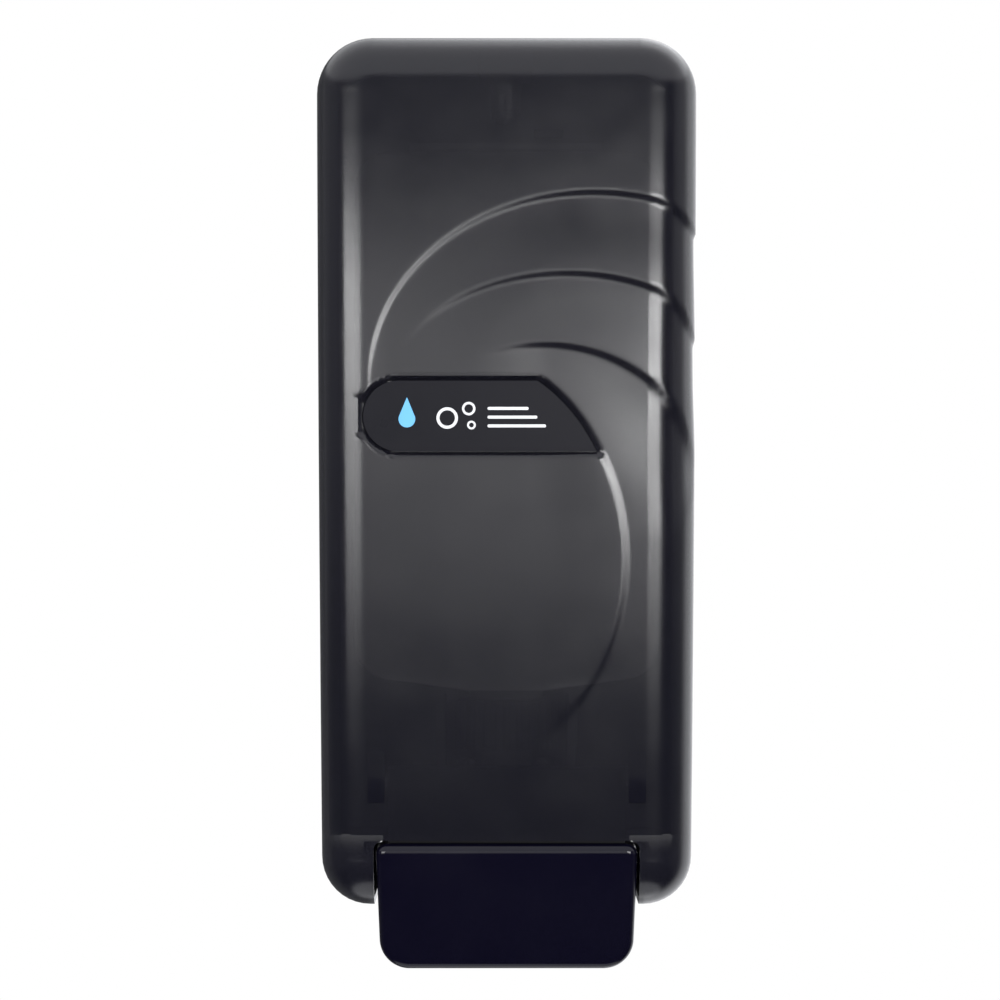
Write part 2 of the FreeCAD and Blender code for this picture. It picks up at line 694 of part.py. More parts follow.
def inlet_seat():
    """Cage around the inlet ball: a ring on top keeps the ball in the pipe."""
    low = seat_base() + 2 * ball_radius + ball_lift + 0.5
    outer = rod_z(inlet_bore, low, low + seat_height, 0, pump_y)
    return outer.cut(rod_z(2.4, low - 1, low + seat_height + 1, 0, pump_y))


def inlet_ball():
    return Part.makeSphere(ball_radius, V(0, pump_y, seat_base() + ball_radius + 0.05))


def piston_rod():
    """Piston head with a seal groove and a thin rod to the button."""
    axis_z = up(pump_up)
    head = rod_y(bore_radius - piston_clearance, head_front_y, head_front_y + head_length, 0, axis_z)
    rod = rod_y(rod_radius, button_front_y + 1.0, head_front_y + 1.0, 0, axis_z)
    groove_y = head_front_y + head_length / 2 - seal_width / 2
    groove = rod_y(bore_radius + 1, groove_y, groove_y + seal_width, 0, axis_z)
    groove = groove.cut(rod_y(bore_radius - seal_groove_depth, groove_y - 1, groove_y + seal_width + 1, 0, axis_z))
    return tidy(head.fuse(rod).cut(groove))


def piston_seal():
    axis_z = up(pump_up)
    groove_y = head_front_y + head_length / 2 - seal_width / 2
    ring_out = rod_y(bore_radius - 0.02, groove_y, groove_y + seal_width, 0, axis_z)
    return ring_out.cut(rod_y(bore_radius - seal_groove_depth, groove_y - 1, groove_y + seal_width + 1, 0, axis_z))


def piston_button():
    """Mushroom button the bar's boss presses."""
    axis_z = up(pump_up)
    button = rod_y(button_radius, button_front_y, button_front_y + button_thick, 0, axis_z)
    front = [e for e in button.Edges if e.BoundBox.YMax < button_front_y + 0.1]
    button = button.makeFillet(1.2, front)
    return button.cut(rod_y(rod_radius, button_front_y + 1.0, button_front_y + 10, 0, axis_z))


def return_spring():
    """Coil spring around the rod, between the barrel and the button, drawn as short mitred runs."""
    y0 = button_front_y + button_thick + spring_wire / 2 + 0.1
    y1 = barrel_front_y - spring_wire / 2 - 0.1
    count = spring_turns * spring_runs
    points = []
    for k in range(count + 1):
        turn = 2 * math.pi * k / spring_runs
        points.append(V(spring_radius * math.cos(turn), y0 + (y1 - y0) * k / count,
                        up(pump_up) + spring_radius * math.sin(turn)))
    circle = Part.makeCircle(spring_wire / 2, points[0], points[1].sub(points[0]))
    corners = [circle.valueAt(2 * math.pi * k / 8) for k in range(8)]
    section = Part.makePolygon(corners + corners[:1])
    return Part.Wire(Part.makePolygon(points)).makePipeShell([section], True, False, 1)


def spout_nozzle():
    """Tapered nozzle pushed over the outlet socket."""
    top = up(spout_low + nozzle_height)
    low = up(spout_low)
    outer = Part.makeCone(spout_radius - 0.4, spout_radius + 1.9, top - low, V(0, pump_y, low), V(0, 0, 1))
    outer = outer.cut(rod_z(spout_radius + 0.02, up(spout_low + 7.0), top + 1, 0, pump_y))
    return tidy(outer.cut(rod_z(spout_bore, low - 1, top + 1, 0, pump_y)))


def outlet_valve():
    """Soft duckbill: a collar and two lips that meet in a slit."""
    top = up(spout_low + 7.0)
    low = up(spout_low - 2.0)
    tube = Part.makeCone(2.2, spout_bore - 0.05, top - low, V(0, pump_y, low), V(0, 0, 1))
    inner = Part.makeCone(0.9, spout_bore - 1.2, top - low, V(0, pump_y, low + 0.6), V(0, 0, 1))
    slit = box(-1.8, 1.8, pump_y - 0.15, pump_y + 0.15, low - 1, low + 2.2)
    return tidy(tube.cut(inner).cut(slit))


def crown_z():
    return up(cover_height)


def lock_escutcheon():
    """Low oval ring on the cover's top edge around the lock."""
    low = crown_z()
    oval = Part.Ellipse(V(lock_plate_half_x, lock_y, low), V(0, lock_y + lock_plate_half_y, low), V(0, lock_y, low))
    plate = Part.Face(Part.Wire(oval.toShape())).extrude(V(0, 0, lock_plate_proud))
    return plate.cut(rod_z(lock_barrel_radius + pin_clearance, low - 1, low + 3, 0, lock_y))


def lock_barrel():
    """Turning plug with a key slot and a square tail for the cam."""
    top = crown_z() + lock_plate_proud - 0.1
    low = crown_z() - lock_barrel_drop
    plug = rod_z(lock_barrel_radius, low, top, 0, lock_y)
    slot = box(-0.7, 0.7, lock_y - 3.2, lock_y + 3.2, top - 6.0, top + 1)
    plug = plug.cut(slot)
    tail = box(-2.2, 2.2, lock_y - 2.2, lock_y + 2.2, low - cam_thick, low + 0.5)
    plug = plug.fuse(tail)
    return tidy(plug.cut(rod_z(1.1, low - 5, low + 3, 0, lock_y)))


def lock_cam():
    """Flat finger that swings behind the keeper when the key turns."""
    low = crown_z() - lock_barrel_drop - cam_thick
    hub = rod_z(cam_half_width + 0.8, low, low + cam_thick, 0, lock_y)
    finger = box(-cam_half_width, cam_half_width, lock_y, lock_y + cam_reach, low, low + cam_thick)
    tip = edges_along(finger, V(0, 0, 1), lambda c: c.y > lock_y + 5)
    finger = finger.makeFillet(2.4, tip)
    return tidy(hub.fuse(finger).cut(box(-2.2, 2.2, lock_y - 2.2, lock_y + 2.2, low - 1, low + 5)))


def cam_screw():
    low = crown_z() - lock_barrel_drop - cam_thick
    head = rod_z(3.4, low - 1.6, low, 0, lock_y)
    slot = box(-3.5, 3.5, lock_y - 0.4, lock_y + 0.4, low - 2, low - 0.9)
    return head.cut(slot).fuse(rod_z(1.1, low - 0.1, low + cam_thick + 2.5, 0, lock_y))


nodes = {
    "wall_plate": wall_plate,
    "front_cover": front_cover,
    "push_bar": push_bar,
    "push_bar_pins": push_bar_pins,
    "cover_hinge_pins": cover_hinge_pins,
    "name_badge": name_badge,
    "badge_pictograms": badge_marks,
    "reservoir": reservoir,
    "tank_strainer": tank_strainer,
    "filler_flap": filler_flap,
    "flap_hinge_pin": flap_hinge_pin,
    "outlet_gasket": outlet_gasket,
    "collar_nut": collar_nut,
    "pump_body": pump_body,
    "pump_bracket": pump_bracket,
    "bracket_screws": bracket_screws,
    "inlet_cage": inlet_seat,
    "inlet_ball": inlet_ball,
    "piston_rod": piston_rod,
    "piston_seal": piston_seal,
    "piston_button": piston_button,
    "return_spring": return_spring,
    "spout_nozzle": spout_nozzle,
    "outlet_valve": outlet_valve,
    "lock_escutcheon": lock_escutcheon,
    "lock_barrel": lock_barrel,
    "lock_cam": lock_cam,
    "cam_screw": cam_screw,
}

os.makedirs("parts", exist_ok=True)
for name, make in nodes.items():
    shape = make()
    print(name, "valid" if shape.isValid() else "NOT VALID", len(shape.Solids), "solids",
          round(shape.Volume, 1), "mm3")
    shape.exportStep("parts/" + name + ".step")
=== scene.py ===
# %% [markdown]
# # A wall mounted soap dispenser
# This lesson dresses a finished mechanical model. The model brings every part in its true place,
# in metres, with the wall at y = 0 and the front facing -Y. The lesson adds the shapes that the
# mechanical model draws too plainly, such as the flowing steps in the cover, and gives every part
# a procedural finish.

# %% Load the frame
import bpy
import math
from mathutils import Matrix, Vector


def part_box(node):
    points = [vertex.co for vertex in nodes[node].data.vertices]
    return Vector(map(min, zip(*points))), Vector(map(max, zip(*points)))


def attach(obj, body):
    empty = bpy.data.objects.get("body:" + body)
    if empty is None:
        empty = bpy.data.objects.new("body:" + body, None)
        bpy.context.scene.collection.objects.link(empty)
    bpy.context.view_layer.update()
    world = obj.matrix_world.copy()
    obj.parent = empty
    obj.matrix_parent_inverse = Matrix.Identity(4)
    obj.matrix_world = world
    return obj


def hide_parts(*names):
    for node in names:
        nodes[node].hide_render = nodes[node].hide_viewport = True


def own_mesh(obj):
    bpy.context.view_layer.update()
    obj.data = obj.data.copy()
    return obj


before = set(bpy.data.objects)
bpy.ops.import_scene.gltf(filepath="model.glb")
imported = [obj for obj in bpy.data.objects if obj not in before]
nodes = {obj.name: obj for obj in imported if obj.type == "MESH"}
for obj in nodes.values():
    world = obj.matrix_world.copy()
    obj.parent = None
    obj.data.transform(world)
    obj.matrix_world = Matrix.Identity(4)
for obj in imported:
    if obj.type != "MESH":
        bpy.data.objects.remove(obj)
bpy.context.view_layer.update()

# %% [markdown]
# Nearly all measures are read from the parts themselves, so the dressing follows the model. A
# millimetre is written as `mm`, because the scene is in metres and a moulded part is thought of
# in millimetres.

# %% Measures read from the parts
mm = 0.001
cover_low, cover_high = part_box("front_cover")
bar_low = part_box("push_bar")[0]
cover_base = cover_low.z
cover_top = cover_high.z
cover_front = cover_low.y
print("cover", [round(v / mm, 1) for v in cover_high - cover_low], "mm")

# %% [markdown]
# ## Small helpers for finishes
# A finish starts as one Principled shader. Noise textures then move its roughness and a Bump node
# moves its surface, so that the plastic catches light unevenly, as moulded plastic does. The
# helpers below only save typing: each finish further down still decides its own numbers.


# %% Shader helpers
class Finish:
    """One material with its Principled shader and a few ways to add texture to it."""

    def __init__(self, name, colour, roughness, ior=1.47):
        self.material = bpy.data.materials.new(name)
        self.material.use_nodes = True
        self.tree = self.material.node_tree
        self.shader = self.tree.nodes["Principled BSDF"]
        self.set("Base Color", (*colour, 1.0))
        self.set("Roughness", roughness)
        self.set("IOR", ior)
        self.place = self.node("ShaderNodeTexCoord").outputs["Object"]

    def node(self, kind, **settings):
        made = self.tree.nodes.new(kind)
        for key, value in settings.items():
            setattr(made, key, value)
        return made

    def set(self, socket, value):
        self.shader.inputs[socket].default_value = value

    def link(self, a, b):
        self.tree.links.new(a, b)

    def noise(self, scale, detail, stretch=(1, 1, 1)):
        """Noise in the object's own space; a stretch over 1 squeezes it along that axis."""
        mapping = self.node("ShaderNodeMapping")
        mapping.inputs["Scale"].default_value = stretch
        self.link(self.place, mapping.inputs["Vector"])
        noise = self.node("ShaderNodeTexNoise")
        noise.inputs["Scale"].default_value = scale
        noise.inputs["Detail"].default_value = detail
        self.link(mapping.outputs["Vector"], noise.inputs["Vector"])
        return noise.outputs["Fac"]

    def spread(self, value, low, high, start=0.3, end=0.7):
        """Map start..end to low..high; nearly all noise lies between 0.3 and 0.7."""
        ramp = self.node("ShaderNodeMapRange", clamp=True)
        for key, number in (("From Min", start), ("From Max", end), ("To Min", low), ("To Max", high)):
            ramp.inputs[key].default_value = number
        self.link(value, ramp.inputs["Value"])
        return ramp.outputs["Result"]

    def tint(self, fac, first, second):
        """Blend the base colour between two tints with a noise value."""
        mix = self.node("ShaderNodeMix", data_type="RGBA")
        self.link(self.spread(fac, 0.0, 1.0), mix.inputs["Factor"])
        mix.inputs[6].default_value = (*first, 1.0)      # sockets 6 and 7 are the two colours
        mix.inputs[7].default_value = (*second, 1.0)
        self.link(mix.outputs[2], self.shader.inputs["Base Color"])

    def bump(self, height, strength, distance):
        """Let a texture tilt the surface; distance is its full depth in metres."""
        bump = self.node("ShaderNodeBump")
        bump.inputs["Strength"].default_value = strength
        bump.inputs["Distance"].default_value = distance
        self.link(height, bump.inputs["Height"])
        self.link(bump.outputs["Normal"], self.shader.inputs["Normal"])


def paint(finish, *names):
    """Give one finish to whole parts."""
    for name in names:
        part = nodes[name]
        part.data.materials.clear()
        part.data.materials.append(finish.material)
        for face in part.data.polygons:
            face.material_index = 0


print("helpers ready")

# %% [markdown]
# ## Smoke plastic
# The cover is a clear plastic dyed nearly black, with a satin face that has a faint pearl grain.
# A full glass shader would refract every ray through two faces of a thin wall, which is slow and
# grainy. Here each face only lets part of the light straight through, and less of it at a
# glancing angle, where the way through the wall is longer. That keeps the tank behind it in view
# as a soft grey shape. Towards the lower rim the plastic is made all but opaque by height alone, a
# painted shade that keeps the bottom of the cover dark. A second version that mirrors almost
# nothing is for the ears and the boss inside, or they would shine through the cover.

# %% The cover's finish
face_on, edge_on = 0.76, 0.985              # opacity of a face seen straight, and at a glance
painted_shade_full, painted_shade_none = 16.0 * mm, 46.0 * mm   # the painted shade at the lower rim fades out between these heights


def smoke_plastic(name, gloss):
    """Dark see-through plastic; gloss is how strongly it mirrors."""
    f = Finish(name, (0.005, 0.005, 0.009), 0.20, 1.58)
    f.set("Specular IOR Level", gloss)
    grain = f.noise(2400.0, 2.0)
    cloud = f.noise(60.0, 3.0)
    f.tint(grain, (0.0035, 0.0035, 0.007), (0.0075, 0.0075, 0.012))
    f.link(f.spread(cloud, 0.19, 0.235), f.shader.inputs["Roughness"])
    f.bump(grain, 0.12, 0.04 * mm)
    facing = f.node("ShaderNodeLayerWeight")
    facing.inputs["Blend"].default_value = 0.35
    by_angle = f.spread(facing.outputs["Facing"], face_on, edge_on, 0.0, 1.0)
    spot = f.node("ShaderNodeSeparateXYZ")
    f.link(f.place, spot.inputs[0])
    # Towards the lower rim the plastic turns nearly opaque by height alone: a painted shade that keeps the
    # bottom of the cover dark.
    shade_by_height = f.spread(spot.outputs["Z"], edge_on, 0.0, cover_base + painted_shade_full, cover_base + painted_shade_none)
    opacity_and_shade = f.node("ShaderNodeMath", operation="MAXIMUM")
    f.link(by_angle, opacity_and_shade.inputs[0])
    f.link(shade_by_height, opacity_and_shade.inputs[1])
    f.link(opacity_and_shade.outputs[0], f.shader.inputs["Alpha"])
    f.material.use_transparent_shadow = True
    return f


smoke = smoke_plastic("smoke_plastic", 0.5)
inner_smoke = smoke_plastic("smoke_plastic_inside", 0.05)
paint(smoke, "front_cover")
print("a smoke face stops", face_on, "of the light seen straight")

# %% [markdown]
# ## Opaque plastics
# The push bar is gloss black. It is touched all day, so its gloss is broken by faint finger
# smears: a slow noise in the roughness. The plate, the tank and the pump are plain mouldings.
# All share one recipe, with a fine grain in the bump and a slow drift in colour and gloss.

# %% Plastic finishes
def moulded(name, colour, roughness, grain_scale=1500.0, grain=0.25, smear=0.06):
    """A moulded plastic: spark-eroded grain in the bump, slow smears in the roughness."""
    f = Finish(name, colour, roughness)
    fine = f.noise(grain_scale, 2.0)
    slow = f.noise(45.0, 4.0)
    darker = tuple(c * 0.94 for c in colour)
    lighter = tuple(c * 1.05 for c in colour)
    f.tint(slow, darker, lighter)
    f.link(f.spread(slow, roughness - smear, roughness + smear), f.shader.inputs["Roughness"])
    f.bump(fine, grain, 0.03 * mm)
    return f


bar_black = moulded("push_bar_black", (0.0025, 0.0022, 0.0070), 0.14, grain=0.05, smear=0.04)
plate_black = moulded("plate_black", (0.022, 0.022, 0.025), 0.45)
tank_milk = moulded("tank_milk", (0.46, 0.46, 0.455), 0.36)
flap_milk = moulded("flap_milk", (0.30, 0.30, 0.31), 0.42)
pump_grey = moulded("pump_grey", (0.16, 0.16, 0.16), 0.38)
collar_black = moulded("collar_black", (0.02, 0.02, 0.022), 0.4)
strainer_amber = moulded("strainer_amber", (0.50, 0.25, 0.10), 0.35)
bar_black.set("Specular IOR Level", 0.35)
paint(bar_black, "push_bar")
paint(plate_black, "wall_plate", "pump_bracket")
paint(tank_milk, "reservoir")
paint(flap_milk, "filler_flap")
paint(pump_grey, "pump_body", "inlet_cage", "piston_rod")
paint(collar_black, "collar_nut", "piston_button", "spout_nozzle")
paint(strainer_amber, "tank_strainer")
print("plastics done,", len(bpy.data.materials), "materials")

# %% [markdown]
# ## The badge
# The badge is a dark satin plate with small signs let into it: a drop, rings and bars. The signs
# are one part of the model. The drop is the leftmost of them, so its faces are found by their
# place and take a second material, which is simpler than cutting the part up.

# %% Badge finishes
drop_sign_width = 6.5 * mm
badge_black = moulded("badge_black", (0.006, 0.006, 0.009), 0.32, grain=0.08)
badge_black.set("Specular IOR Level", 0.12)
badge_pale = moulded("badge_pale", (0.55, 0.56, 0.58), 0.35, grain=0.1)
badge_blue = moulded("badge_blue", (0.10, 0.36, 0.62), 0.35, grain=0.1)
paint(badge_black, "name_badge")
paint(badge_pale, "badge_pictograms")
marks = nodes["badge_pictograms"].data
marks.materials.append(badge_blue.material)
marks_left = min(v.co.x for v in marks.vertices)
for face in marks.polygons:
    if face.center.x < marks_left + drop_sign_width:
        face.material_index = 1
print("blue faces", sum(face.material_index for face in marks.polygons))

# %% [markdown]
# ## Metal and rubber
# Pins, screws, the spring and the lock are bare metal with fine streaks. One stretched noise
# drives both gloss and bump, so a streak is duller and also a little raised. Seals are a matt
# rubber, made with the recipe for mouldings and a coarser grain. The lock's trim is glossier.

# %% Metal and rubber finishes
def metal(name, colour, roughness):
    f = Finish(name, colour, roughness)
    f.set("Metallic", 1.0)
    streak = f.noise(900.0, 2.0, (1, 12, 1))
    f.link(f.spread(streak, roughness - 0.08, roughness + 0.1), f.shader.inputs["Roughness"])
    f.bump(streak, 0.15, 0.02 * mm)
    return f


steel = metal("plain_steel", (0.56, 0.56, 0.57), 0.3)
lock_metal = metal("lock_metal", (0.42, 0.42, 0.43), 0.22)
rubber = moulded("soft_rubber", (0.02, 0.02, 0.02), 0.65, 900.0, 0.4)
lock_trim = moulded("lock_trim", (0.02, 0.02, 0.024), 0.25, grain=0.1)
paint(steel, "push_bar_pins", "cover_hinge_pins", "flap_hinge_pin", "bracket_screws", "inlet_ball",
      "return_spring", "lock_cam", "cam_screw")
paint(lock_metal, "lock_barrel")
paint(rubber, "outlet_gasket", "piston_seal", "outlet_valve")
paint(lock_trim, "lock_escutcheon")
print("all finishes done,", len(bpy.data.materials), "materials")

# %% [markdown]
# ## The cover's skin
# The real cover is one injection moulding. Its front carries flowing steps: each starts as nothing
# on the left, drops in a crisp little ledge, and wraps round the right edge. A mechanical model
# can only cut those as plain grooves. Here the cover is built as one sheet of quads instead, so
# that a depth can be given to every point of it.
#
# The sheet is laid out in three parts that share their rims: a flat grid for the front, rings that
# roll round the edge, and rings that run back along the sides. A point's place on the flat
# outline decides where it lies, so the quads stay even and the notch needs no boolean.

# %% Outline of the cover
edge_round = 14.4 * mm
corner_top = 17.0 * mm
corner_bottom = 14.6 * mm
bow_radius = 1400.0 * mm
side_taper = 1.75 * mm
skin_thickness = 2.2 * mm
half_top = (cover_high.x - cover_low.x) / 2
half_bottom = half_top - side_taper
cover_rear = cover_high.y
cover_height = cover_top - cover_base


def half_width(z):
    """Half the cover's width at a height, without its rounded corners."""
    share = (z - cover_base) / cover_height
    return half_bottom + (half_top - half_bottom) * share


def front_depth(z):
    """y of the bowed front at a height."""
    off = z - (cover_base + cover_top) / 2
    return cover_front + bow_radius - math.sqrt(bow_radius ** 2 - off ** 2)


inner_low = cover_base + edge_round
inner_high = cover_top - edge_round
top_arc = corner_top - edge_round
bottom_arc = corner_bottom - edge_round
print("front bows", round((front_depth(inner_high) - front_depth(0)) / mm, 2), "mm at the top")

# %% [markdown]
# The rows of the grid are close together where the outline turns a corner and under a millimetre
# apart elsewhere. One row and two columns follow the notch for the push bar, with its rounded
# corners, so the notch is made by leaving quads out.

# %% Rows of the front grid
notch_half = 39.8 * mm
notch_top = cover_base + 20.2 * mm
notch_corner = 3.0 * mm
bottom_rows, under_notch_rows, notch_rows, face_rows, top_rows = 10, 3, 6, 286, 12


def between(a, b, count):
    """Even places from a up to, but without, b."""
    return [a + (b - a) * k / count for k in range(count)]


def rising_arc(start, radius, count):
    """Heights from start to start + radius, closer together near the top of the arc."""
    return [start + radius * math.sin(math.pi / 2 * k / count) for k in range(count)]


rows = [inner_low + bottom_arc * (1 - math.cos(math.pi / 2 * k / bottom_rows)) for k in range(bottom_rows)]
rows += between(inner_low + bottom_arc, notch_top - notch_corner, under_notch_rows)
rows += rising_arc(notch_top - notch_corner, notch_corner, notch_rows)
notch_row = len(rows)
rows += between(notch_top, inner_high - top_arc, face_rows)
rows += rising_arc(inner_high - top_arc, top_arc, top_rows) + [inner_high]
print("rows", len(rows), "of which beside the notch", notch_row)

# %% [markdown]
# The columns follow the slope of the sides. Two of them run down the notch's sides and lean in to
# round its corners. Above the notch that lean dies out slowly, so no quad gets badly skewed.

# %% Columns of the front grid
inner_columns = 104
outer_columns = 5
columns = outer_columns + inner_columns + outer_columns + 1
notch_columns = range(outer_columns, outer_columns + inner_columns)
squeeze_end = 20.0 * mm           # above the notch, the lean of its columns dies out over this height
least_side = 0.8 * mm             # room always left for the outer columns


def row_half(z):
    """Half-width of the front grid at a height, following the rounded corners."""
    half = half_width(z) - edge_round
    up_in = z - (inner_high - top_arc)
    down_in = inner_low + bottom_arc - z
    if up_in > 0:
        half -= top_arc - math.sqrt(max(top_arc ** 2 - up_in ** 2, 0.0))
    if down_in > 0:
        half -= bottom_arc - math.sqrt(max(bottom_arc ** 2 - down_in ** 2, 0.0))
    return half


def notch_squeeze(z):
    """How far the two notch columns lean in to draw the notch's rounded corners."""
    rise = z - (notch_top - notch_corner)
    if rise <= 0:
        return 0.0
    if rise <= notch_corner:
        return notch_corner - math.sqrt(max(notch_corner ** 2 - rise ** 2, 0.0))
    return notch_corner * max(1.0 - (rise - notch_corner) / squeeze_end, 0.0)


def row_places(z):
    """The x of every column in a row."""
    half = row_half(z)
    middle = min(notch_half - notch_squeeze(z), half - least_side)
    left = between(-half, -middle, outer_columns)
    centre = between(-middle, middle, inner_columns)
    right = between(middle, half, outer_columns)
    return left + centre + right + [half]


print("grid", len(rows), "rows by", columns, "columns")

# %% [markdown]
# ### The steps
# Each step follows a stretch of an ellipse. For a point of the front, the distance in from the
# ellipse decides the depth: a quick drop over two millimetres, then a long easy climb back to
# the front. The drop faces down, away from the light, and shows as a thin dark line. The climb
# faces up a little, and shows as a soft bright band under it. Towards its left end each step
# fades to nothing. The lowest one, right of the badge, is a low ridge instead, with a drop
# below zero.

# %% Shape of the steps
class Step:
    """One flowing step: its ellipse in millimetres above the cover's base, and how it fades."""

    def __init__(self, x, z, half_wide, half_high, fade_from, fade_to, wrap, drop, low_limit):
        self.x, self.z = x, z
        self.half_wide, self.half_high = half_wide, half_high
        self.fade_from, self.fade_to = fade_from, fade_to
        self.wrap, self.drop, self.low_limit = wrap, drop, low_limit


steps = [
    Step(26.0, 157.0, 68.0, 57.5, -47.0, -34.0, 11.0, 0.68, 152.0),
    Step(18.0, 150.3, 56.0, 40.0, -36.0, -8.0, 9.7, 0.68, 146.0),
    Step(11.0, 130.0, 46.0, 39.0, -12.0, 14.0, 0.3, 0.68, 122.0),
    Step(-10.6, 104.0, 47.0, 60.0, 6.0, 22.0, 0.0, -0.42, 52.0),
]
drop_width = 1.8
climb_width = 32.0
print("steps", len(steps), "deepest", max(step.drop for step in steps), "mm")

# %% [markdown]
# The depth at a point is the sum over all steps. It is worked out as if the rounded edge were
# rolled flat, which lets a step run on round the right side.

# %% Depth of the steps
fade_below, fade_above = 12.0, 14.0          # each side of a step's low limit
shallow_share, full_from, full_to = 0.55, -10.0, 36.0    # steps deepen towards the right


def ease(value, start, end):
    """0 before start, 1 after end, smooth between."""
    share = min(max((value - start) / (end - start), 0.0), 1.0)
    return share * share * (3 - 2 * share)


def step_ledge(step, across, above):
    """How much of a step's drop there is at a place in millimetres, before it fades."""
    dx = (across - step.x) / step.half_wide
    dz = (above - step.z) / step.half_high
    reach = math.hypot(dx, dz)
    if reach < 1e-6:
        return 0.0
    slope = math.hypot(dx / step.half_wide, dz / step.half_high) / reach
    inward = (1.0 - reach) / max(slope, 1e-6)
    if inward < 0 or inward > climb_width:
        return 0.0
    return ease(inward, 0.0, drop_width) * (1.0 - ease(inward, drop_width, climb_width))


def step_depth(x, z, round_share):
    """Depth in metres on the unrolled front; round_share is 1 at the far side of the edge."""
    depth = 0.0
    above = (z - cover_base) / mm
    for step in steps:
        across = x / mm + step.wrap * round_share
        ledge = step_ledge(step, across, above)
        if ledge:
            fade = ease(across, step.fade_from, step.fade_to)
            fade *= shallow_share + (1.0 - shallow_share) * ease(across, full_from, full_to)
            fade *= ease(above, step.low_limit - fade_below, step.low_limit + fade_above)
            depth += step.drop * fade * ledge
    return depth * mm


near_top = cover_base + (steps[0].z + steps[0].half_high - 3.0) * mm
print("first step", round(step_depth(30 * mm, near_top, 0.0) / mm, 2), "mm deep near its top")

# %% [markdown]
# ### The badge's seat
# The badge lies in a shallow seat with a rounded lip. Its outline is read back from the badge
# itself: round at the left, and cut by the ridge's ellipse at the right.

# %% Seat under the badge
badge_low, badge_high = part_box("name_badge")
seat_depth = 1.5 * mm
lip_width = 1.4                   # from here on in millimetres, like the steps
seat_gap = 0.25
end_inset_wide, end_inset_high = 2.6, 0.4    # the badge's cut end keeps this far inside the ellipse
badge_radius = (badge_high.z - badge_low.z) / 2 / mm
badge_round_x = badge_low.x / mm + badge_radius
badge_middle_z = (badge_high.z + badge_low.z) / 2 / mm


def badge_distance(x, z):
    """Distance in millimetres outside the badge's outline, negative inside."""
    px, pz = x / mm, z / mm
    bar = abs(pz - badge_middle_z) - badge_radius
    if px < badge_round_x:
        bar = math.hypot(px - badge_round_x, pz - badge_middle_z) - badge_radius
    end = steps[-1]
    if px <= end.x:
        return bar
    wide, high = end.half_wide - end_inset_wide, end.half_high - end_inset_high
    dx = (px - end.x) / wide
    dz = (pz - (cover_base / mm + end.z)) / high
    reach = math.hypot(dx, dz)
    cut = (reach - 1.0) * reach / math.hypot(dx / wide, dz / high)
    if bar > 0 and cut > 0:
        return math.hypot(bar, cut)
    return max(bar, cut)


def seat_sink(x, z):
    """Depth of the badge's seat in metres."""
    away = badge_distance(x, z)
    if away > lip_width + seat_gap:
        return 0.0
    return seat_depth * (1.0 - ease(away, seat_gap, seat_gap + lip_width))


print("badge", round((badge_high.x - badge_low.x) / mm, 1), "mm wide")

# %% [markdown]
# ### Sewing the sheet together
# The rim of the grid is walked once round. From each rim point the edge rolls over in arcs away
# from the outline, then runs straight back to the rear. The steps wrap round the right edge and
# die out along the side. A Solidify modifier then gives the wall its thickness. The lock's trim
# covers the place where its barrel goes through, so the sheet stays whole there.

# %% The front and its rim
import bmesh


def front_points():
    """Points of the front grid row by row, and the flat place of each."""
    flat = [(x, z) for z in rows for x in row_places(z)]
    return [(x, front_depth(z) + step_depth(x, z, 0.0) + seat_sink(x, z), z) for x, z in flat], flat


def front_quads():
    """Quads of the front grid, without those in the notch."""
    quads = []
    for j in range(len(rows) - 1):
        for i in range(columns - 1):
            if j >= notch_row or i not in notch_columns:
                a = j * columns + i
                quads.append((a, a + 1, a + columns + 1, a + columns))
    return quads


def rim_walk():
    """Numbers of the rim's points, once round from the lower left."""
    last_row, last_column = len(rows) - 1, columns - 1
    bottom = list(range(last_column))
    right = [j * columns + last_column for j in range(last_row)]
    top = [last_row * columns + i for i in range(last_column, 0, -1)]
    left = [j * columns for j in range(last_row, 0, -1)]
    return bottom + right + top + left


print("rim", len(rim_walk()), "points")

# %% [markdown]
# A ring is the rim once more, moved outwards and back by a small part of a quarter turn. Where the
# outline turns a corner, the outward direction turns with it, so the corner comes out rounded
# both ways.

# %% Rolling over the edge
roll_steps = 11
side_steps = 6
side_fade = (0.1, 0.6)            # shares of the side along which the steps die out
hair = 1e-7


def rim_direction(x, z):
    """Outward direction of the outline, as (x, z), at a point of the front grid's rim."""
    corners = ((top_arc, inner_high - top_arc, 1), (bottom_arc, inner_low + bottom_arc, -1))
    for arc, centre_z, sign in corners:
        out = Vector((abs(x) - (row_half(centre_z) - arc), (z - centre_z) * sign))
        if out.y > hair and out.x > hair:
            out.normalize()
            return math.copysign(out.x, x), out.y * sign
    if z >= inner_high - hair:
        return 0.0, 1.0
    if z <= inner_low + hair:
        return 0.0, -1.0
    return math.copysign(1.0, x), 0.0


def ring_point(x, z, k):
    """The rim point at x, z as it lies in ring k: first rolling over, then back along the side."""
    turn = math.pi / 2 * min(k / roll_steps, 1.0)
    along_side = max(k - roll_steps, 0) / side_steps
    away = edge_round * math.sin(turn)
    out_x, out_z = rim_direction(x, z)
    y = front_depth(z) + edge_round * (1 - math.cos(turn))
    y += (cover_rear - y) * along_side
    depth = 0.0
    if out_x > 0:
        depth = step_depth(x + away * out_x, z, (away * out_x / edge_round) ** 2)
        depth *= out_x * (1.0 - ease(along_side, *side_fade))
    elif out_x < 0 and k <= roll_steps:
        depth = seat_sink(x + out_x * edge_round * turn, z)
    inset = away - depth * math.sin(turn)
    return x + out_x * inset, y + depth * math.cos(turn), z + out_z * inset


